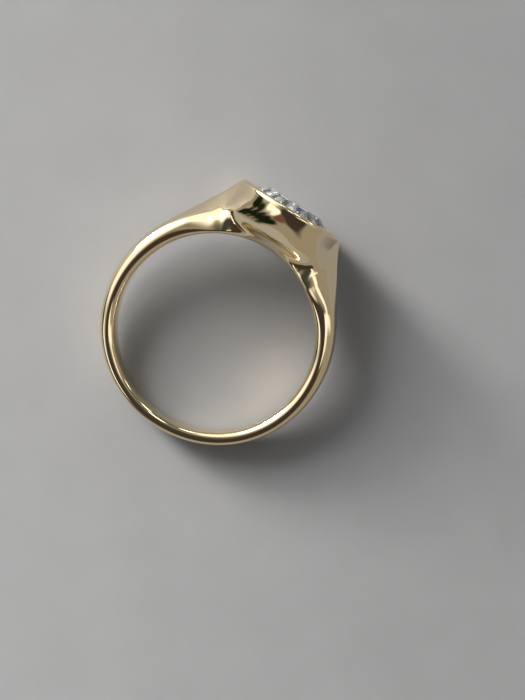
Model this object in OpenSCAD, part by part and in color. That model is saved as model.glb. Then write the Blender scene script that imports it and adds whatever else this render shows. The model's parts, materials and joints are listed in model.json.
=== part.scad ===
// Bezel set ring: a polished gold band that widens into a round head with one round brilliant.
// It lies on its side as it comes to rest by itself, +Z up and the head towards +Y.
// The ring's own frame, before it is laid down: Z is the finger axis, Y runs through the head, X is across.

/* [Finger hole] */
// Diameter of the finger hole
hole_d = 17.3; // [16:0.1:19]

/* [Head] */
// Height of the bezel's rim above the finger hole
head_h = 4; // [4:0.05:4.6]
// Diameter of the bezel's rim
head_d = 9.8; // [9.6:0.1:10.4]
// Radius of the rim's outer edge
rim_edge = 0.4; // [0.2:0.05:0.6]

/* [Stone] */
// Diameter of the stone at its girdle
stone_d = 7.5; // [7:0.1:7.6]
// Table's diameter as a share of the stone's
table_share = 0.66; // [0.55:0.01:0.7]
// Angle of the crown's kite facets
crown_angle = 35; // [32:0.5:37]
// Angle of the pavilion's main facets
pavilion_angle = 40; // [39:0.5:40.5]
// Girdle's thickness
girdle_h = 0.2; // [0.1:0.05:0.25]
// Depth of the girdle's upper edge below the rim
girdle_drop = 0.4; // [0.35:0.05:0.45]
// Diameter of the opening inside the bezel's lip
lip_d = 6.8; // [6.6:0.1:6.9]
// Gap between the stone and its seat
seat_gap = 0.06; // [0.04:0.01:0.1]

/* [Hidden] */

hole_r = hole_d / 2;
rim_y = hole_r + head_h;
head_r = head_d / 2;
corner_angle = atan(head_r / rim_y);
corner_power = 50;     // how tightly the shoulders turn into the flat rim, as a power
corner_reach = 60;     // angle past which the rim's plane no longer counts
bore_cut = 0.15;       // how far the blank reaches into the finger hole before it is bored
bore_h = 3 * head_d;   // length of the finger hole's cutter

// Band and shoulders, one row for each angle from the head.
// Columns: angle, thickness over the finger hole, half width, crown radius across the top,
// slope of the top's sides, how tightly the top's sides turn into the flanks, as a power,
// depth and width of the outer edge's rounding, depth and width of the inner edge's rounding
BAND = [
    [0, 30, 1.9, 0.1, 1.1, 3, 0.5, 0, 0.5, 0.5],
    [12, 9, 2, 0.1, 1.1, 3, 0.5, 0, 0.5, 0.5],
    [18, 6, 2.15, 0.1, 1.1, 3, 0.5, 0, 0.45, 0.5],
    [21, 4.93, 2.25, 0.1, 1.05, 3, 0.5, 0, 0.4, 0.5],
    [26.5, 3.73, 2.35, 0.1, 1.05, 5, 0.5, 0, 0.35, 0.45],
    [32.3, 3.02, 2.3, 0.3, 1.2, 5, 0.8, 0.2, 0.32, 0.4],
    [40.4, 2.38, 2.15, 1.5, 1.2, 5, 1.1, 0.6, 0.5, 0.45],
    [49, 2, 2, 4, 0.6, 6, 1.1, 0.8, 0.65, 0.55],
    [60, 1.78, 1.86, 6, 0.2, 6, 1.05, 0.9, 0.7, 0.6],
    [77, 1.61, 1.74, 6, 0, 6, 0.95, 0.9, 0.65, 0.6],
    [90, 1.49, 1.64, 6, 0, 6, 0.85, 0.85, 0.62, 0.58],
    [110, 1.37, 1.5, 6, 0, 6, 0.75, 0.68, 0.6, 0.52],
    [136, 1.22, 1.36, 6, 0, 6, 0.62, 0.56, 0.57, 0.46],
    [159, 1.1, 1.26, 6, 0, 6, 0.55, 0.5, 0.54, 0.42],
    [180, 1.05, 1.22, 6, 0, 6, 0.53, 0.45, 0.52, 0.4]
];
THICK = 1;
HALF_W = 2;
CROWN = 3;
SLOPE = 4;
FLANK = 5;
OUTER_D = 6;
OUTER_W = 7;
INNER_D = 8;
INNER_W = 9;

// The bowl under the rim, which flares out of the band, one row for each height over the finger hole.
// Columns: height, half width in the middle and half length along the band, as shares of the rim's radius,
// and the power of its outline seen from above: 2 for an ellipse, more for a squarer one
BOWL = [
    [-1, 0.163, 1.061, 3],
    [0, 0.388, 1.051, 3],
    [0.45, 0.494, 1.041, 3],
    [0.8, 0.588, 1.031, 3],
    [1.25, 0.691, 1.02, 3],
    [1.75, 0.782, 1, 2.7],
    [2.03, 0.828, 0.99, 2.5],
    [2.3, 0.867, 0.98, 2.3],
    [2.73, 0.918, 0.969, 2.1],
    [3.5, 0.98, 0.98, 2],
    [4, 1, 1, 2],
    [5, 1.01, 1.01, 2]
];
ACROSS = 1;
ALONG = 2;
PLAN = 3;

head_stations = 14;    // sections from the head's middle to the rim's side
shank_stations = 38;   // sections from there to the back
station_growth = 1.5;  // how fast the sections spread out towards the back
levels = 24;           // steps from the finger hole to the top of a section
bowl_blend = 8;        // how tightly the bowl turns into the band, as a power
flat_top = 0.02;       // half width left along the ridge

table_r = stone_d * table_share / 2;
girdle_r = stone_d / 2;
girdle_y = rim_y - girdle_drop;
crown_h = (girdle_r - table_r) * tan(crown_angle);
pavilion_h = girdle_r * tan(pavilion_angle);
facets = 8;            // how often the brilliant's facets repeat round its axis
lower_half_share = 0.22;  // pavilion radius where the lower girdle facets end, as a share
star_share = 0.5;      // how far the stars reach from the table to the girdle
open_above = 1;        // how far the seat's cutter reaches above the rim
seat_segments = 96;    // segments of the seat's circle
bore_segments = 180;   // segments of the finger hole's circle
tilt_guess = 10;       // tilt at which the search for the resting tilt starts
tilt_steps = 8;        // steps of that search

// Smooth interpolation of one column of a table at x, which keeps its end values outside the table
function row_of(table, x, i = 0) =
    i >= len(table) - 2 || x < table[i + 1][0] ? i : row_of(table, x, i + 1);
function rise(table, c, i) =
    (table[i + 1][c] - table[i][c]) / (table[i + 1][0] - table[i][0]);
function tangent(table, c, i) =
    i == 0 || i == len(table) - 1 ? 0
    : rise(table, c, i - 1) * rise(table, c, i) <= 0 ? 0
    : 2 / (1 / rise(table, c, i - 1) + 1 / rise(table, c, i));
function hermite(p, q, m, n, t) =
    (2 * t ^ 3 - 3 * t ^ 2 + 1) * p + (t ^ 3 - 2 * t ^ 2 + t) * m
    + (3 * t ^ 2 - 2 * t ^ 3) * q + (t ^ 3 - t ^ 2) * n;
function at(table, c, x) =
    let (i = row_of(table, x), w = table[i + 1][0] - table[i][0])
    let (t = min(1, max(0, (x - table[i][0]) / w)))
    hermite(table[i][c], table[i + 1][c], w * tangent(table, c, i), w * tangent(table, c, i + 1), t);

// Ridge radius at an angle from the head: the flat rim within the head, the band's outline beyond it,
// and a small round between them
function ridge_r(a) =
    let (outline = hole_r + at(BAND, THICK, a))
    a >= corner_reach ? outline
    : outline * (1 + (outline * cos(a) / rim_y) ^ corner_power) ^ (-1 / corner_power);

// What a rounded edge takes off the half width at a depth d below that edge
function edge_round(depth, width, d) =
    let (t = min(1, max(0, 1 - d / depth)))
    width * (1 - sqrt(1 - t ^ 2));

// Half width of the band alone, where d is the depth below the ridge
function band_half(a, d) =
    let (side = at(BAND, HALF_W, a) - edge_round(at(BAND, OUTER_D, a), at(BAND, OUTER_W, a), d))
    let (top = sqrt((at(BAND, SLOPE, a) * d) ^ 2 + 2 * at(BAND, CROWN, a) * d), power = at(BAND, FLANK, a))
    d <= 0 ? 0 : (side ^ -power + top ^ -power) ^ (-1 / power);

// How far the rim's rounded edge draws the bowl in at a height on the ring's own Y
function edge_cut(y) =
    let (over = max(0, y - (rim_y - rim_edge)))
    rim_edge - sqrt(max(0, rim_edge ^ 2 - over ^ 2));
// Half width of the bowl alone at a point of the middle plane
function bowl_half(x, y) =
    let (across = head_r * at(BOWL, ACROSS, y - hole_r) - edge_cut(y))
    let (along = head_r * at(BOWL, ALONG, y - hole_r) - edge_cut(y), power = at(BOWL, PLAN, y - hole_r))
    y < 0 ? 0 : across * sqrt(max(0, 1 - abs(x / along) ^ power));

// Half width of the gold at an angle from the head and a radius from the finger hole's axis
function half_width(a, r) =
    let (band = band_half(a, ridge_r(a) - r), bowl = bowl_half(r * sin(a), r * cos(a)))
    let (inner = edge_round(at(BAND, INNER_D, a), at(BAND, INNER_W, a), r - hole_r))
    max(flat_top, (band ^ bowl_blend + bowl ^ bowl_blend) ^ (1 / bowl_blend) - inner);

// Radii of one section's levels, closer together at the inner edge and at the top
function level_r(a, i) =
    let (low = hole_r - bore_cut, t = (1 - cos(180 * i / levels)) / 2)
    low + (ridge_r(a) - low) * t;

// One closed section at the signed station angle s
function section(s) =
    let (a = abs(s), r = [for (i = [0:levels]) level_r(a, i)], w = [for (q = r) half_width(a, q)])
    concat(
        [for (i = [0:levels]) [r[i] * sin(s), r[i] * cos(s), w[i]]],
        [for (i = [levels:-1:0]) [r[i] * sin(s), r[i] * cos(s), -w[i]]]
    );

// Station angles on one side, from the head's middle to the back
half_turn = concat(
    [for (i = [1:head_stations]) atan(head_r * sin(90 * i / head_stations) / rim_y)],
    [for (i = [1:shank_stations]) corner_angle
        + (180 - corner_angle) * (i / shank_stations) ^ station_growth]
);
stations = concat(
    [0],
    half_turn,
    [for (i = [len(half_turn) - 2:-1:0]) -half_turn[i]]
);
body_points = [for (s = stations) each section(s)];
section_n = 2 * (levels + 1);
station_n = len(stations);

// A ring of n corners of the stone round the head's axis Y
function ring_of(n, r, y, turn) = [
    for (i = [0:n - 1]) let (angle = i * 360 / n + turn) [r * cos(angle), y, r * sin(angle)]
];
half_facet = 180 / facets;
star_r = (table_r * cos(half_facet) + star_share * (girdle_r - table_r * cos(half_facet)));
star_y = girdle_y + (girdle_r - star_r * cos(half_facet)) * tan(crown_angle);
lower_r = girdle_r * lower_half_share;
lower_y = girdle_y - girdle_h - (girdle_r - lower_r * cos(half_facet)) * tan(pavilion_angle);
stone_points = concat(
    ring_of(facets, table_r, girdle_y + crown_h, 0),
    ring_of(facets, star_r, star_y, half_facet),
    ring_of(2 * facets, girdle_r, girdle_y, 0),
    ring_of(2 * facets, girdle_r, girdle_y - girdle_h, 0),
    ring_of(facets, lower_r, lower_y, half_facet),
    [[0, girdle_y - girdle_h - pavilion_h, 0]]
);

// The ring lies on the head's side and on the back of the shank: the tilt that brings both to the floor
function low_end(points, tilt) = min([for (p = points) p.y * sin(tilt) + p.z * cos(tilt)]);
head_side = [for (p = section(0)) if (p.z < 0) p];
back_side = [for (p = section(180)) if (p.z < 0) p];
function settle(tilt, n) =
    n == 0 ? tilt
    : settle(tilt + atan((low_end(back_side, tilt) - low_end(head_side, tilt)) / (rim_y + hole_r)), n - 1);
rest_tilt = settle(tilt_guess, tilt_steps);
all_points = concat(body_points, stone_points);
laid_y = [for (p = all_points) p.y * cos(rest_tilt) - p.z * sin(rest_tilt)];
laid_z = [for (p = all_points) p.y * sin(rest_tilt) + p.z * cos(rest_tilt)];
centre_y = -(min(laid_y) + max(laid_y)) / 2;
centre_z = -min(laid_z);

module laid_down() {
    translate([0, centre_y, centre_z]) rotate([rest_tilt, 0, 0]) children();
}

// The blank: all sections joined into one closed skin
module blank() {
    polyhedron(
        points = body_points,
        faces = [
            for (i = [0:station_n - 1], j = [0:section_n - 1])
                let (k = (i + 1) % station_n, m = (j + 1) % section_n)
                each [
                    [i * section_n + j, k * section_n + m, k * section_n + j],
                    [i * section_n + j, i * section_n + m, k * section_n + m]
                ]
        ]
    );
}

// The seat follows the pavilion, holds the girdle and closes over the crown with a thin lip
module seat() {
    r = girdle_r + seat_gap;
    top = girdle_y + seat_gap;
    bottom = girdle_y - girdle_h - seat_gap;
    lip_y = top + (r - lip_d / 2) * tan(crown_angle);
    rotate([-90, 0, 0]) rotate_extrude($fn = seat_segments) polygon([
        [0, bottom - r * tan(pavilion_angle)],
        [r, bottom],
        [r, top],
        [lip_d / 2, lip_y],
        [lip_d / 2, rim_y + open_above],
        [0, rim_y + open_above]
    ]);
}

module ring_body() {
    color("#d9c28a") laid_down() difference() {
        blank();
        cylinder(r = hole_r, h = bore_h, center = true, $fn = bore_segments);
        seat();
    }
}

module stone() {
    color("#e8f0f4") laid_down() hull() polyhedron(
        points = stone_points,
        faces = [[for (i = [0:len(stone_points) - 1]) i]]
    );
}

ring_body();
stone();
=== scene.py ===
"""Looks of a bezel set ring that lies on its side: polished gold, round brilliant, pale floor."""
import json
import math

import bpy
from bpy.props import FloatProperty, FloatVectorProperty, IntProperty, PointerProperty
from mathutils import Matrix, Vector


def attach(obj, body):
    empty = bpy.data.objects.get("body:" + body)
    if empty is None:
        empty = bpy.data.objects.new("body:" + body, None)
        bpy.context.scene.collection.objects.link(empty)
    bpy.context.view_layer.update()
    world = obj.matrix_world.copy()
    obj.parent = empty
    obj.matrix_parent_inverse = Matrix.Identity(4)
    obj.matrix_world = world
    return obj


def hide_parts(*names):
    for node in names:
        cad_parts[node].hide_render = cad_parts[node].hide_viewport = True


bl_info = {
    "name": "Bezel set ring",
    "version": (1, 0, 0),
    "blender": (4, 5, 0),
    "location": "View3D > Sidebar > Ring",
    "description": "Builds the gold body, the brilliant and the studio round the packed ring",
    "category": "Object",
}

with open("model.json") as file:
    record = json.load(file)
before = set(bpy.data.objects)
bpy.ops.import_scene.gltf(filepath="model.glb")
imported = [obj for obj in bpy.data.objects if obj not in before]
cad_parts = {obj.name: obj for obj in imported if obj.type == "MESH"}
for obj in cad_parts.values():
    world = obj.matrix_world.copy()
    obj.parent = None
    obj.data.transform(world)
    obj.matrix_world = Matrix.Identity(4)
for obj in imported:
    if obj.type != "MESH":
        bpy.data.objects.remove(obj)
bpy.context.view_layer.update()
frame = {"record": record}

MM = 0.001
HOLE = next(m for m in frame["record"]["mounts"] if m["name"] == "finger_hole")
HOLE_CENTRE = Vector(HOLE["pos_m"])
REST_TILT = math.atan2(-HOLE["axis"][1], HOLE["axis"][2])
# From the ring's own frame, with Z through the finger hole and Y through the head, to where it lies
LAID_DOWN = Matrix.Translation(HOLE_CENTRE) @ Matrix.Rotation(REST_TILT, 4, "X")
# From a piece that was turned about Z to the head's axis, which is Y
Z_TO_Y = Matrix.Rotation(-math.pi / 2, 4, "X")

# Band and shoulders in millimetres, one row for each angle in degrees from the head.
# Columns: angle, thickness over the finger hole, half width, crown radius across the top,
# slope of the top's sides, how tightly the top's sides turn into the flanks, as a power,
# depth and width of the outer edge's rounding, depth and width of the inner edge's rounding
BAND = (
    (0, 30, 1.9, 0.1, 1.1, 3, 0.5, 0, 0.5, 0.5),
    (12, 9, 2, 0.1, 1.1, 3, 0.5, 0, 0.5, 0.5),
    (18, 6, 2.15, 0.1, 1.1, 3, 0.5, 0, 0.45, 0.5),
    (21, 4.93, 2.25, 0.1, 1.05, 3, 0.5, 0, 0.4, 0.5),
    (26.5, 3.73, 2.35, 0.1, 1.05, 5, 0.5, 0, 0.35, 0.45),
    (32.3, 3.02, 2.3, 0.3, 1.2, 5, 0.8, 0.2, 0.32, 0.4),
    (40.4, 2.38, 2.15, 1.5, 1.2, 5, 1.1, 0.6, 0.5, 0.45),
    (49, 2, 2, 4, 0.6, 6, 1.1, 0.8, 0.65, 0.55),
    (60, 1.78, 1.86, 6, 0.2, 6, 1.05, 0.9, 0.7, 0.6),
    (77, 1.61, 1.74, 6, 0, 6, 0.95, 0.9, 0.65, 0.6),
    (90, 1.49, 1.64, 6, 0, 6, 0.85, 0.85, 0.62, 0.58),
    (110, 1.37, 1.5, 6, 0, 6, 0.75, 0.68, 0.6, 0.52),
    (136, 1.22, 1.36, 6, 0, 6, 0.62, 0.56, 0.57, 0.46),
    (159, 1.1, 1.26, 6, 0, 6, 0.55, 0.5, 0.54, 0.42),
    (180, 1.05, 1.22, 6, 0, 6, 0.53, 0.45, 0.52, 0.4),
)
THICK, HALF_W, CROWN, SLOPE, FLANK, OUTER_D, OUTER_W, INNER_D, INNER_W = range(1, 10)

# The bowl under the rim, which flares out of the band, one row for each height over the finger
# hole in millimetres. Columns: height, half width in the middle and half length along the band as
# shares of the rim's radius, and the power of its outline seen from above: 2 for an ellipse, more
# for a squarer one
BOWL = (
    (-1, 0.163, 1.061, 3),
    (0, 0.388, 1.051, 3),
    (0.45, 0.494, 1.041, 3),
    (0.8, 0.588, 1.031, 3),
    (1.25, 0.691, 1.02, 3),
    (1.75, 0.782, 1, 2.7),
    (2.03, 0.828, 0.99, 2.5),
    (2.3, 0.867, 0.98, 2.3),
    (2.73, 0.918, 0.969, 2.1),
    (3.5, 0.98, 0.98, 2),
    (4, 1, 1, 2),
    (5, 1.01, 1.01, 2),
)
ACROSS, ALONG, PLAN = 1, 2, 3

BOWL_BLEND = 8.0     # how tightly the bowl turns into the band, as a power
CORNER_REACH = 60    # angle in degrees past which the rim's plane no longer counts
FLAT_TOP = 0.02      # half width in millimetres left along the ridge
FIRST_STEP = 0.3     # step from the head's corner to the next section, as a share of the mean step
SMOOTH_UP_TO = math.radians(32)    # edges of the gold that turn more than this stay sharp

SEAT_SIDES = 192         # sides of the tool that cuts the seat
SEAT_START = 0.1 * MM    # how far over the rim that tool starts
LIP_EDGE = 0.06 * MM     # bevel along the lip's inner edge
LIP_ROLL = 0.3           # share of that bevel which is steeper
SEAT_POINT = 0.02 * MM   # radius of the seat at its lowest point

FOLD = 8             # the brilliant's facets repeat eight times round it
ROUGH_SIDES = 96     # sides of the cylinder that the brilliant is cut from
CUT_LIMIT = 1e-7     # points closer to a cut than this lie on it, in metres
WELD_LIMIT = 2e-7    # points closer together than this become one, in metres

FLOOR_SIZE = 4           # metres
FLOOR_DROP = 0.00001     # the floor is this far below the ring, in metres, so that no faces meet
# The floor's colour gets darker in this direction: a painted falloff of light
PAINTED_FALLOFF_TOWARDS = (0.849, 0.528, 0)    # direction in which the light on the floor gets weaker

# What stands round the ring, for the gold to mirror and to light the floor. A later card covers an
# earlier one. Columns: direction from +X, height above the floor, half angle and soft edge in
# degrees, brightness, colour
CARDS = (
    # Dark warm boards beyond the back of the shank: a large high one and a small low one
    (292, 53, 29, 4, 0.05, "#ffe0d0"),
    (262, 27, 8, 3, 0.16, "#ffbfa8"),
    # White soft boxes from the head's corner on the -X side round towards the back
    (150, 30, 27, 5, 1.35, "#fbfaf6"),
    (185, 38, 25, 6, 1.35, "#fbfaf6"),
    (124, 14, 12, 4, 1.5, "#fbfaf6"),
    (205, 48, 13, 6, 1.2, "#fbfaf6"),
    (231, 33, 8, 2, 1.35, "#fbfaf6"),
    (246, 35, 8, 2, 1.35, "#fbfaf6"),
    # Low row of dark green boards between the -X side and the back
    (211, 11, 8, 2, 0.12, "#4d6140"),
    (223, 16, 8, 2, 0.12, "#4d6140"),
    (236, 17, 8, 2, 0.12, "#4d6140"),
    (248, 15, 8, 2, 0.12, "#4d6140"),
    (258, 10, 8, 2, 0.12, "#4d6140"),
    # Main light on the -X side: a wide soft box, and a small strong one below it
    (168, 31, 13, 5, 23, "#fffaf0"),
    (169, 16, 8, 2, 105, "#fffaf0"),
    # Curved white strip on the +X side
    (28, 54, 8, 3, 1.3, "#fffaf0"),
    (334, 65, 5, 2, 1.3, "#fffaf0"),
    (352, 61, 5, 2, 1.3, "#fffaf0"),
    (5, 55, 5, 2, 1.3, "#fffaf0"),
    (11, 47, 5, 2, 1.3, "#fffaf0"),
    (15, 38, 5, 2, 1.1, "#fffaf0"),
    (18, 29, 5, 2, 0.9, "#fffaf0"),
    # Grey board beyond the head, with small lamps before it that give bright glints
    (80, 40, 26, 10, 0.2, "#e9e4da"),
    (58, 14, 4, 1, 5, "#ffffff"),
    (78, 24, 5, 1, 5, "#ffffff"),
    (100, 10, 4, 1, 5, "#ffffff"),
    (112, 30, 5, 1, 4, "#ffffff"),
    (88, 52, 6, 1, 3, "#ffffff"),
    # Dark board straight above
    (20, 90, 17, 6, 0.06, "#e6fff0"),
)
BETWEEN_CARDS = (0.33, 0.3, 0.25, 1)    # linear colour of all that no card covers

# The camera looks straight down on the ring from 124.8 mm, as in the photograph
CAMERA_PLACE = (0.00284864, -0.00467635, 0.12475749)
CAMERA_TURN = (1.12206825, -1.47657678, 31.85350491)    # degrees
SENSOR_WIDTH = 36                                       # millimetres
CLIP_NEAR, CLIP_FAR = 0.005, 20                         # metres


def linear(colour):
    """An sRGB hex colour as linear red, green and blue"""
    parts = [int(colour[i:i + 2], 16) / 255 for i in (1, 3, 5)]
    return tuple(c / 12.92 if c <= 0.04045 else ((c + 0.055) / 1.055) ** 2.4 for c in parts)


class RingSizes(bpy.types.PropertyGroup):
    """Sizes of the gold body"""
    hole_d: FloatProperty(
        name="Finger hole", description="Diameter of the finger hole",
        default=2 * HOLE["dims"]["r_mm"] * MM, min=0.016, max=0.019, unit="LENGTH", precision=5)
    head_h: FloatProperty(
        name="Head height", description="Height of the bezel's rim above the finger hole",
        default=4.0 * MM, min=0.0039, max=0.0046, unit="LENGTH", precision=5)
    head_d: FloatProperty(
        name="Head diameter", description="Diameter of the bezel's rim",
        default=9.8 * MM, min=0.0096, max=0.0104, unit="LENGTH", precision=5)
    rim_edge: FloatProperty(
        name="Rim edge", description="Radius of the rim's outer edge",
        default=0.4 * MM, min=0.0002, max=0.0006, unit="LENGTH", precision=5)
    corner_blend: FloatProperty(
        name="Corner power", description="How tightly the shoulders turn into the rim",
        default=50, min=40, max=400)
    sections: IntProperty(
        name="Sections", description="Number of sections round the ring",
        default=256, min=96, max=256)
    levels: IntProperty(
        name="Levels", description="Steps from the finger hole to the top of a section",
        default=60, min=24, max=80)


class StoneSizes(bpy.types.PropertyGroup):
    """Sizes of the brilliant and of its seat"""
    stone_d: FloatProperty(
        name="Stone", description="Diameter of the stone at its girdle",
        default=7.5 * MM, min=0.007, max=0.0076, unit="LENGTH", precision=5)
    table_share: FloatProperty(
        name="Table", description="Table's diameter as a share of the stone's",
        default=0.66, min=0.55, max=0.7)
    crown_angle: FloatProperty(
        name="Crown angle", description="Angle of the crown's kite facets", subtype="ANGLE",
        default=math.radians(35), min=math.radians(32), max=math.radians(37))
    pavilion_angle: FloatProperty(
        name="Pavilion angle", description="Angle of the pavilion's main facets", subtype="ANGLE",
        default=math.radians(40), min=math.radians(39), max=math.radians(41))
    girdle_h: FloatProperty(
        name="Girdle", description="Girdle's thickness",
        default=0.2 * MM, min=0.0001, max=0.00025, unit="LENGTH", precision=5)
    girdle_drop: FloatProperty(
        name="Girdle depth", description="Depth of the girdle's upper edge below the rim",
        default=0.4 * MM, min=0.00035, max=0.0005, unit="LENGTH", precision=5)
    star_share: FloatProperty(
        name="Stars", description="How far the stars reach from the table to the girdle",
        default=0.5, min=0.4, max=0.6)
    lower_share: FloatProperty(
        name="Lower facets", description="Radius where the lower girdle facets end, as a share",
        default=0.22, min=0.15, max=0.35)
    lip_d: FloatProperty(
        name="Lip", description="Diameter of the opening inside the bezel's lip",
        default=6.8 * MM, min=0.0066, max=0.0069, unit="LENGTH", precision=5)
    seat_gap: FloatProperty(
        name="Seat gap", description="Gap between the stone and its seat",
        default=0.06 * MM, min=0.00004, max=0.0001, unit="LENGTH", precision=5)


class StudioLooks(bpy.types.PropertyGroup):
    """Colours of the ring and of the studio"""
    gold: FloatVectorProperty(
        name="Gold", description="Colour of the polished gold", subtype="COLOR",
        default=linear("#f4e3c0"), min=0, max=1)
    floor: FloatVectorProperty(
        name="Floor", description="Colour of the pale floor", subtype="COLOR",
        default=linear("#85878c"), min=0, max=1)
    lens: FloatProperty(
        name="Lens", description="Focal length of the camera on a 36 mm sensor",
        default=72.56, min=20, max=200, subtype="DISTANCE_CAMERA")


def look_up(table, column, x):
    """Smooth value of one column of a table at x, which keeps its end values outside the table"""
    i = 0
    while i < len(table) - 2 and x >= table[i + 1][0]:
        i += 1

    def rise(k):
        return (table[k + 1][column] - table[k][column]) / (table[k + 1][0] - table[k][0])

    def tangent(k):
        if k in (0, len(table) - 1) or rise(k - 1) * rise(k) <= 0:
            return 0
        return 2 / (1 / rise(k - 1) + 1 / rise(k))

    width = table[i + 1][0] - table[i][0]
    t = min(1, max(0, (x - table[i][0]) / width))
    return ((2 * t ** 3 - 3 * t ** 2 + 1) * table[i][column]
            + (t ** 3 - 2 * t ** 2 + t) * width * tangent(i)
            + (3 * t ** 2 - 2 * t ** 3) * table[i + 1][column]
            + (t ** 3 - t ** 2) * width * tangent(i + 1))


def edge_round(depth, width, below):
    """What a rounded edge takes off the half width at a depth below that edge"""
    t = min(1, max(0, 1 - below / depth))
    return width * (1 - math.sqrt(1 - t ** 2))


class Section:
    """Outline of the gold across the band at one angle from the head, in millimetres"""

    def __init__(self, sizes, angle):
        self.hole_r = sizes.hole_d / MM / 2
        self.rim_y = self.hole_r + sizes.head_h / MM
        self.rim_edge = sizes.rim_edge / MM
        self.head_r = sizes.head_d / MM / 2
        self.angle = angle
        away = math.degrees(abs(angle))
        self.row = [look_up(BAND, c, away) for c in range(len(BAND[0]))]
        self.ridge = self.hole_r + self.row[THICK]
        if away < CORNER_REACH:
            flat = self.rim_y / math.cos(angle)
            power = sizes.corner_blend
            self.ridge *= (1 + (self.ridge / flat) ** power) ** (-1 / power)

    def band_half(self, depth):
        """Half width of the band alone at a depth below the ridge"""
        if depth <= 0:
            return 0
        side = self.row[HALF_W] - edge_round(self.row[OUTER_D], self.row[OUTER_W], depth)
        top = math.hypot(self.row[SLOPE] * depth, math.sqrt(2 * self.row[CROWN] * depth))
        power = self.row[FLANK]
        return (side ** -power + top ** -power) ** (-1 / power)

    def bowl_half(self, x, y):
        """Half width of the bowl alone at a point of the middle plane"""
        if y < 0:
            return 0
        # The rim's rounded edge draws the bowl in
        over = max(0, y - (self.rim_y - self.rim_edge))
        edge = self.rim_edge - math.sqrt(max(0, self.rim_edge ** 2 - over ** 2))
        height = y - self.hole_r
        across, along = (self.head_r * look_up(BOWL, c, height) - edge for c in (ACROSS, ALONG))
        power = look_up(BOWL, PLAN, height)
        return across * math.sqrt(max(0, 1 - abs(x / along) ** power))

    def half_width(self, r):
        """Half width of the gold at a radius from the finger hole's centre"""
        band = self.band_half(self.ridge - r)
        bowl = self.bowl_half(r * math.sin(self.angle), r * math.cos(self.angle))
        inner = edge_round(self.row[INNER_D], self.row[INNER_W], r - self.hole_r)
        both = (band ** BOWL_BLEND + bowl ** BOWL_BLEND) ** (1 / BOWL_BLEND)
        return max(FLAT_TOP, both - inner)

    def points(self, levels):
        """The section's points in metres, up one side and down the other"""
        side = []
        for i in range(levels + 1):
            # Levels are closer together at the finger hole and at the ridge
            share = (1 - math.cos(math.pi * i / levels)) / 2
            r = self.hole_r + (self.ridge - self.hole_r) * share
            side.append((r, self.half_width(r)))
        outline = side + [(r, -w) for r, w in reversed(side)]
        turn = (math.sin(self.angle), math.cos(self.angle))
        return [Vector((r * turn[0], r * turn[1], w)) * MM for r, w in outline]


def station_angles(sizes):
    """Angles of the sections: close together round the head and opening out towards the back"""
    head_r = sizes.head_d / 2
    rim_y = sizes.hole_d / 2 + sizes.head_h
    corner = math.atan(head_r / rim_y)
    half = sizes.sections // 2
    # Two fifths of the sections are on the head
    head = half * 2 // 5
    shank = half - head
    one_side = [math.atan(head_r * math.sin(math.pi / 2 * i / head) / rim_y)
                for i in range(head + 1)]
    # The step grows evenly from the corner of the head to the back
    step = FIRST_STEP * (math.pi - corner) / shank
    rest = math.pi - corner - step * shank
    one_side += [corner + step * i + rest * (i / shank) ** 2 for i in range(1, shank + 1)]
    return one_side + [-a for a in reversed(one_side[1:-1])]


def only(obj):
    """Makes obj the one selected and active object"""
    bpy.ops.object.select_all(action="DESELECT")
    obj.select_set(True)
    bpy.context.view_layer.objects.active = obj


def edit(obj, mode="VERT"):
    """Opens obj in edit mode with nothing selected"""
    only(obj)
    bpy.ops.object.mode_set(mode="EDIT")
    bpy.ops.mesh.select_mode(type=mode)
    bpy.ops.mesh.select_all(action="DESELECT")


def leave_edit():
    """Goes back from edit mode to object mode"""
    bpy.ops.object.mode_set(mode="OBJECT")


def face_outwards():
    """Turns all faces of the mesh in edit mode outwards"""
    bpy.ops.mesh.select_all(action="SELECT")
    bpy.ops.mesh.normals_make_consistent(inside=False)


def settle(obj):
    """Moves an object's place into its mesh, and leaves the object unturned at the origin"""
    only(obj)
    bpy.ops.object.transform_apply(location=True, rotation=True, scale=True)


def lay_down(obj):
    """Turns a piece from the ring's own frame to where the ring lies"""
    obj.matrix_world = LAID_DOWN @ obj.matrix_world
    settle(obj)


def start_piece(name):
    """Names the primitive that was just added"""
    obj = bpy.context.view_layer.objects.active
    obj.name = obj.data.name = name
    return obj


def finish_with(obj, material):
    """Gives a piece its one material"""
    obj.data.materials.clear()
    obj.data.materials.append(material)


def add_node(tree, kind, settings=None, values=None, links=None):
    """Adds a node with its settings, socket values and links. Links: socket to (node, output)"""
    node = tree.nodes.new(kind)
    for key, value in (settings or {}).items():
        setattr(node, key, value)
    for key, value in (values or {}).items():
        node.inputs[key].default_value = value
    for key, (source, output) in (links or {}).items():
        tree.links.new(source.outputs[output], node.inputs[key])
    return node


def new_material(name):
    """An empty material and its node tree"""
    material = bpy.data.materials.new(name)
    material.use_nodes = True
    material.node_tree.nodes.clear()
    return material, material.node_tree


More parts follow.
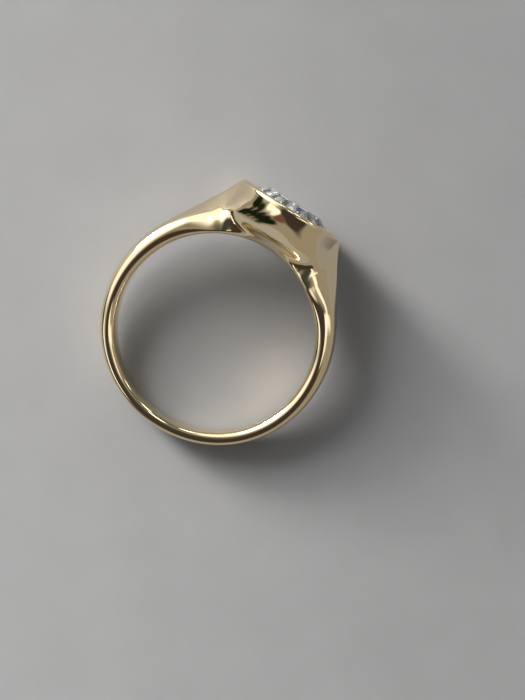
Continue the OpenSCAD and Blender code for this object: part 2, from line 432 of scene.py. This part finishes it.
def polished_gold(colour):
    """14 carat yellow gold, cast and hand polished: a wavy mirror with faint hairlines"""
    material, tree = new_material("polished_gold")
    place = add_node(tree, "ShaderNodeTexCoord")
    # Hand polishing leaves waves about 3 mm long and 12 micrometres high
    waves = add_node(tree, "ShaderNodeTexNoise",
                     values={"Scale": 330, "Detail": 1.5, "Roughness": 0.4},
                     links={"Vector": (place, "Object")})
    # Hairlines of the last polish, 0.1 mm apart and 0.4 micrometres deep, drawn out along the band
    along = add_node(tree, "ShaderNodeMapping", values={"Scale": (0.12, 0.12, 1.0)},
                     links={"Vector": (place, "Object")})
    hairs = add_node(tree, "ShaderNodeTexNoise",
                     values={"Scale": 9000, "Detail": 3, "Roughness": 0.65},
                     links={"Vector": (along, "Vector")})
    wavy = add_node(tree, "ShaderNodeBump", values={"Strength": 1.0, "Distance": 0.000012},
                    links={"Height": (waves, 0)})
    fine = add_node(tree, "ShaderNodeBump", values={"Strength": 1.0, "Distance": 0.0000004},
                    links={"Height": (hairs, 0), "Normal": (wavy, "Normal")})
    # Handled metal is a little duller in soft patches a few millimetres wide
    patches = add_node(tree, "ShaderNodeTexNoise", values={"Scale": 420, "Detail": 2},
                       links={"Vector": (place, "Object")})
    dull = add_node(tree, "ShaderNodeMapRange",
                    values={"From Min": 0.35, "From Max": 0.75, "To Min": 0.045, "To Max": 0.1},
                    links={"Value": (patches, 0)})
    metal = add_node(tree, "ShaderNodeBsdfPrincipled",
                     values={"Base Color": (*colour, 1), "Metallic": 1.0},
                     links={"Roughness": (dull, "Result"), "Normal": (fine, "Normal")})
    add_node(tree, "ShaderNodeOutputMaterial", links={"Surface": (metal, "BSDF")})
    return material


def cell_colours(tree, cells, shades):
    """Gives each cell of a Voronoi pattern a colour. Shades: share of the cells below it, colour"""
    pick = add_node(tree, "ShaderNodeSeparateColor", links={"Color": (cells, "Color")})
    node = add_node(tree, "ShaderNodeValToRGB", links={"Fac": (pick, "Red")})
    node.color_ramp.interpolation = "CONSTANT"
    stops = node.color_ramp.elements
    for share, shade in shades:
        stop = stops[0] if share == 0 else stops.new(share)
        stop.color = (*linear(shade), 1)
    # The ramp comes with a last stop at 1, which takes the last colour too
    stops[-1].color = (*linear(shades[-1][1]), 1)
    return node


def cut_diamond(place):
    """Colourless brilliant, ground and polished flat: clear, with hard glints, and flashes of light
    painted into its colour
    """
    material, tree = new_material("cut_diamond")
    spot = add_node(tree, "ShaderNodeTexCoord")
    # Painted reflections: light and dark flashes painted into the stone's colour stand in for what
    # the facets throw back from inside. They are mirrored sixteen times round the stone's own axis,
    # as its facets are: x and y lose their signs, the greater comes first, and the same is done
    # once more after a turn of 22.5 degrees.
    own = add_node(tree, "ShaderNodeMapping", settings={"vector_type": "TEXTURE"},
                   values={"Location": place.translation, "Rotation": place.to_euler()},
                   links={"Vector": (spot, "Object")})
    signless = add_node(tree, "ShaderNodeVectorMath", settings={"operation": "ABSOLUTE"},
                        links={0: (own, "Vector")})
    sides = add_node(tree, "ShaderNodeSeparateXYZ", links={"Vector": (signless, "Vector")})
    greater, lesser = (add_node(tree, "ShaderNodeMath", settings={"operation": which},
                                links={0: (sides, "X"), 1: (sides, "Y")})
                       for which in ("MAXIMUM", "MINIMUM"))
    eighth = add_node(tree, "ShaderNodeCombineXYZ",
                      links={"X": (greater, "Value"), "Y": (lesser, "Value")})
    turned = add_node(tree, "ShaderNodeMapping", values={"Rotation": (0, 0, -math.pi / FOLD)},
                      links={"Vector": (eighth, "Vector")})
    folded = add_node(tree, "ShaderNodeVectorMath", settings={"operation": "ABSOLUTE"},
                      links={0: (turned, "Vector")})
    # The mirrored cells are about 0.4 mm wide
    mirrored = add_node(tree, "ShaderNodeTexVoronoi", values={"Scale": 2600},
                        links={"Vector": (folded, "Vector")})
    painted_flash_greys = cell_colours(tree, mirrored, ((0.0, "#50565c"), (0.38, "#a8adb3"), (0.66, "#ffffff")))
    # A few single painted flashes, about 0.8 mm wide, are tinted violet as painted split light
    loose = add_node(tree, "ShaderNodeTexVoronoi", values={"Scale": 1300},
                     links={"Vector": (spot, "Object")})
    painted_flash_tints = cell_colours(tree, loose, ((0.0, "#ffffff"), (0.9, "#a4b0ff")))
    painted_flashes = add_node(tree, "ShaderNodeVectorMath", settings={"operation": "MULTIPLY"},
                       links={0: (painted_flash_greys, "Color"), 1: (painted_flash_tints, "Color")})
    # Six tenths of the surface's light goes through, and the rest shows the painted flashes
    gem = add_node(tree, "ShaderNodeBsdfPrincipled",
                   values={"Roughness": 0.0, "IOR": 2.417, "Transmission Weight": 0.6},
                   links={"Base Color": (painted_flashes, "Vector")})
    add_node(tree, "ShaderNodeOutputMaterial", links={"Surface": (gem, "BSDF")})
    return material


def studio_board(colour):
    """Matt pale painted board, lightly mottled, with a painted falloff of light in its colour: a
    ground with soft shadows
    """
    material, tree = new_material("studio_board")
    place = add_node(tree, "ShaderNodeTexCoord")
    # The mottling is about 7 mm wide
    mottle = add_node(tree, "ShaderNodeTexNoise",
                      values={"Scale": 150, "Detail": 6, "Roughness": 0.6},
                      links={"Vector": (place, "Object")})
    shade = add_node(tree, "ShaderNodeMapRange",
                     values={"From Min": 0.2, "From Max": 0.8, "To Min": 0.94, "To Max": 1.04},
                     links={"Value": (mottle, 0)})
    # Painted falloff of light: the board's colour gets slowly darker away from the main light, from
    # 25 mm on one side of the origin to 30 mm on the other
    away = add_node(tree, "ShaderNodeVectorMath", settings={"operation": "DOT_PRODUCT"},
                    values={1: PAINTED_FALLOFF_TOWARDS}, links={0: (place, "Object")})
    painted_falloff = add_node(tree, "ShaderNodeMapRange", settings={"interpolation_type": "SMOOTHSTEP"},
                       values={"From Min": -0.025, "From Max": 0.03, "To Min": 1.04, "To Max": 0.8},
                       links={"Value": (away, "Value")})
    # Mottle times the painted falloff of light
    mottle_and_painted_falloff = add_node(tree, "ShaderNodeMath", settings={"operation": "MULTIPLY"},
                     links={0: (shade, "Result"), 1: (painted_falloff, "Result")})
    tint = add_node(tree, "ShaderNodeVectorMath", settings={"operation": "SCALE"},
                    values={0: colour}, links={"Scale": (mottle_and_painted_falloff, "Value")})
    board = add_node(tree, "ShaderNodeBsdfPrincipled",
                     values={"Roughness": 0.9, "Specular IOR Level": 0.1},
                     links={"Base Color": (tint, "Vector")})
    add_node(tree, "ShaderNodeOutputMaterial", links={"Surface": (board, "BSDF")})
    return material


def seat_cutter(sizes, stone):
    """The tool that cuts the seat: opening inside the lip, bearing for the girdle, cone below it"""
    rim_y = sizes.hole_d / 2 + sizes.head_h
    girdle_r = stone.stone_d / 2
    top = rim_y - stone.girdle_drop + stone.seat_gap
    bottom = top - stone.girdle_h - 2 * stone.seat_gap
    r, lip_r = girdle_r + stone.seat_gap, stone.lip_d / 2
    lip_y = top + (r - lip_r) * math.tan(stone.crown_angle)
    # Outline of the tool from above the rim down. Columns: height, radius
    outline = (
        (rim_y + SEAT_START, lip_r + LIP_EDGE),
        (rim_y, lip_r + LIP_EDGE),
        (rim_y - LIP_ROLL * LIP_EDGE, lip_r + LIP_ROLL * LIP_EDGE),
        (rim_y - LIP_EDGE, lip_r),
        (lip_y, lip_r),
        (top, r),
        (bottom, r),
        (bottom - (r - SEAT_POINT) * math.tan(stone.pavilion_angle), SEAT_POINT),
    )
    start, radius = outline[0]
    height = start
    bpy.ops.object.select_all(action="DESELECT")
    bpy.ops.mesh.primitive_circle_add(vertices=SEAT_SIDES, radius=radius, fill_type="NGON",
                                      location=(0, 0, 0))
    cutter = start_piece("seat_cutter")
    edit(cutter, "FACE")
    bpy.ops.mesh.select_all(action="SELECT")
    for new_height, new_radius in outline[1:]:
        down = (0, 0, new_height - height)
        bpy.ops.mesh.extrude_region_move(TRANSFORM_OT_translate={"value": down})
        k = new_radius / radius
        bpy.ops.transform.resize(value=(k, k, 1), center_override=(0, 0, new_height - start))
        height, radius = new_height, new_radius
    face_outwards()
    leave_edit()
    cutter.matrix_world = Matrix.Translation((0, start, 0)) @ Z_TO_Y
    settle(cutter)
    return cutter


class RING_OT_gold_body(bpy.types.Operator):
    """Shapes the gold: shank, shoulders, round head and the stone's seat"""
    bl_idname = "ring.gold_body"
    bl_label = "Gold body"

    def execute(self, context):
        sizes, stone = context.scene.ring_sizes, context.scene.stone_sizes
        angles = station_angles(sizes)
        per_section = 2 * (sizes.levels + 1)
        # A torus with one ring of points for each section is drawn out to the ring's outline
        bpy.ops.object.select_all(action="DESELECT")
        bpy.ops.mesh.primitive_torus_add(
            major_segments=len(angles), minor_segments=per_section,
            major_radius=sizes.hole_d / 2 + MM, minor_radius=MM, generate_uvs=False)
        body = start_piece("gold_body")
        for i, angle in enumerate(angles):
            for j, point in enumerate(Section(sizes, angle).points(sizes.levels)):
                body.data.vertices[i * per_section + j].co = point
        body.data.update()
        edit(body)
        face_outwards()
        leave_edit()

        cutter = seat_cutter(sizes, stone)
        cut = body.modifiers.new("seat", "BOOLEAN")
        cut.operation, cut.solver, cut.object = "DIFFERENCE", "EXACT", cutter
        only(body)
        bpy.ops.object.modifier_apply(modifier=cut.name)
        bpy.data.objects.remove(cutter)
        bpy.ops.object.shade_smooth_by_angle(angle=SMOOTH_UP_TO)
        lay_down(body)
        finish_with(body, polished_gold(context.scene.studio_looks.gold))
        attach(body, "root")
        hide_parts("ring_body")
        return {"FINISHED"}


class RING_OT_stone(bpy.types.Operator):
    """Cuts the round brilliant facet by facet"""
    bl_idname = "ring.stone"
    bl_label = "Brilliant"

    def execute(self, context):
        sizes, s = context.scene.ring_sizes, context.scene.stone_sizes
        half = math.pi / FOLD    # from a kite facet to the star facet beside it
        quarter = half / 2
        girdle_r, table_r = s.stone_d / 2, s.stone_d * s.table_share / 2
        crown_h = (girdle_r - table_r) * math.tan(s.crown_angle)
        pavilion_h = girdle_r * math.tan(s.pavilion_angle)
        flat_r = table_r * math.cos(half)    # from the axis to the middle of the table's sides
        star_r = flat_r + s.star_share * (girdle_r - flat_r)
        star_y = (girdle_r - star_r * math.cos(half)) * math.tan(s.crown_angle)
        lower_r = girdle_r * s.lower_share
        lower_y = (girdle_r - lower_r * math.cos(half)) * math.tan(s.pavilion_angle)
        # The rough: a cylinder from the culet to the table, with the girdle's upper edge at 0
        depth = crown_h + s.girdle_h + pavilion_h
        bpy.ops.object.select_all(action="DESELECT")
        bpy.ops.mesh.primitive_cylinder_add(vertices=ROUGH_SIDES, radius=girdle_r, depth=depth,
                                            location=(0, 0, crown_h - depth / 2))
        stone = start_piece("round_brilliant")
        settle(stone)
        upper = math.atan(star_y / ((girdle_r - star_r) * math.cos(quarter)))
        star = math.atan((crown_h - star_y) / (star_r - flat_r))
        lower = math.atan(lower_y / ((girdle_r - lower_r) * math.cos(quarter)))
        # Rounds of facets. Columns: direction of the first facet, number of facets, slope,
        # distance from the axis and height of a point on it, up or down
        rounds = (
            (0, FOLD, s.crown_angle, girdle_r, 0, 1),
            (quarter, 2 * FOLD, upper, girdle_r * math.cos(quarter), 0, 1),
            (half, FOLD, star, flat_r, crown_h, 1),
            (0, FOLD, s.pavilion_angle, girdle_r, -s.girdle_h, -1),
            (quarter, 2 * FOLD, lower, girdle_r * math.cos(quarter), -s.girdle_h, -1),
        )
        edit(stone, "FACE")
        for first, count, slope, r, height, up in rounds:
            for i in range(count):
                turn = first + 2 * math.pi * i / count
                x, y = math.cos(turn), math.sin(turn)
                normal = (math.sin(slope) * x, math.sin(slope) * y, up * math.cos(slope))
                bpy.ops.mesh.select_all(action="SELECT")
                bpy.ops.mesh.bisect(plane_co=(r * x, r * y, height), plane_no=normal,
                                    use_fill=True, clear_outer=True, threshold=CUT_LIMIT)
        bpy.ops.mesh.select_all(action="SELECT")
        bpy.ops.mesh.remove_doubles(threshold=WELD_LIMIT)
        bpy.ops.mesh.normals_make_consistent(inside=False)
        leave_edit()
        girdle_y = sizes.hole_d / 2 + sizes.head_h - s.girdle_drop
        stone.matrix_world = Matrix.Translation((0, girdle_y, 0)) @ Z_TO_Y
        place = LAID_DOWN @ stone.matrix_world
        lay_down(stone)
        finish_with(stone, cut_diamond(place))
        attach(stone, "root")
        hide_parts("stone")
        return {"FINISHED"}


class RING_OT_stage(bpy.types.Operator):
    """Sets up the pale floor, the soft light and the camera"""
    bl_idname = "ring.stage"
    bl_label = "Studio"

    def execute(self, context):
        self.floor(context)
        self.surroundings(context)
        self.camera(context)
        context.scene.view_settings.view_transform = "Standard"
        return {"FINISHED"}

    def floor(self, context):
        """Lays the pale board that the ring lies on"""
        bpy.ops.object.select_all(action="DESELECT")
        bpy.ops.mesh.primitive_grid_add(x_subdivisions=2, y_subdivisions=2, size=FLOOR_SIZE,
                                        location=(0, 0, -FLOOR_DROP))
        floor = start_piece("studio_floor")
        settle(floor)
        finish_with(floor, studio_board(context.scene.studio_looks.floor))

    def surroundings(self, context):
        """Puts the cards round the ring, as the world's light"""
        world = bpy.data.worlds.new("studio")
        context.scene.world = world
        world.use_nodes = True
        tree = world.node_tree
        tree.nodes.clear()
        sky = add_node(tree, "ShaderNodeTexCoord")
        plain = add_node(tree, "ShaderNodeRGB")
        plain.outputs[0].default_value = BETWEEN_CARDS
        covered = (plain, "Color")
        for turn, rise, spread, edge, bright, shade in CARDS:
            t, e = math.radians(turn), math.radians(rise)
            towards = (math.cos(t) * math.cos(e), math.sin(t) * math.cos(e), math.sin(e))
            facing = add_node(tree, "ShaderNodeVectorMath", settings={"operation": "DOT_PRODUCT"},
                              values={1: towards}, links={0: (sky, "Generated")})
            outer, inner = (math.cos(math.radians(a)) for a in (spread + edge, spread - edge))
            inside = add_node(tree, "ShaderNodeMapRange",
                              settings={"interpolation_type": "SMOOTHSTEP"},
                              values={"From Min": outer, "From Max": inner},
                              links={"Value": (facing, "Value")})
            # Sockets 6 and 7 and output 2 are the Mix node's two colours and its result
            mix = add_node(tree, "ShaderNodeMix", settings={"data_type": "RGBA"},
                           values={7: (*(bright * c for c in linear(shade)), 1)},
                           links={"Factor": (inside, "Result"), 6: covered})
            covered = (mix, 2)
        light = add_node(tree, "ShaderNodeBackground", links={"Color": covered})
        add_node(tree, "ShaderNodeOutputWorld", links={"Surface": (light, "Background")})

    def camera(self, context):
        """Sets the camera at the photograph's viewing angle"""
        data = bpy.data.cameras.new("camera")
        camera = bpy.data.objects.new("camera", data)
        context.scene.collection.objects.link(camera)
        camera.location = CAMERA_PLACE
        camera.rotation_euler = [math.radians(a) for a in CAMERA_TURN]
        data.lens, data.sensor_width = context.scene.studio_looks.lens, SENSOR_WIDTH
        data.sensor_fit = "AUTO"
        data.clip_start, data.clip_end = CLIP_NEAR, CLIP_FAR
        context.scene.camera = camera


class RING_PT_sidebar(bpy.types.Panel):
    """The ring's pieces and sizes"""
    bl_idname = "RING_PT_sidebar"
    bl_label = "Bezel set ring"
    bl_space_type = "VIEW_3D"
    bl_region_type = "UI"
    bl_category = "Ring"

    def draw(self, context):
        scene = context.scene
        for group in (scene.ring_sizes, scene.stone_sizes, scene.studio_looks):
            box = self.layout.box()
            for name in group.__annotations__:
                box.prop(group, name)
        for operator in (RING_OT_gold_body, RING_OT_stone, RING_OT_stage):
            self.layout.operator(operator.bl_idname)


CLASSES = (
    RingSizes,
    StoneSizes,
    StudioLooks,
    RING_OT_gold_body,
    RING_OT_stone,
    RING_OT_stage,
    RING_PT_sidebar,
)


def register():
    """Registers the classes and puts their sizes on the scene"""
    for c in CLASSES:
        bpy.utils.register_class(c)
    bpy.types.Scene.ring_sizes = PointerProperty(type=RingSizes)
    bpy.types.Scene.stone_sizes = PointerProperty(type=StoneSizes)
    bpy.types.Scene.studio_looks = PointerProperty(type=StudioLooks)


def unregister():
    """Takes back what register did"""
    del bpy.types.Scene.studio_looks
    del bpy.types.Scene.stone_sizes
    del bpy.types.Scene.ring_sizes
    for c in reversed(CLASSES):
        bpy.utils.unregister_class(c)


def main():
    """Builds the stage and both pieces"""
    register()
    bpy.ops.ring.stage()
    bpy.ops.ring.gold_body()
    bpy.ops.ring.stone()


if __name__ == "__main__":
    main()
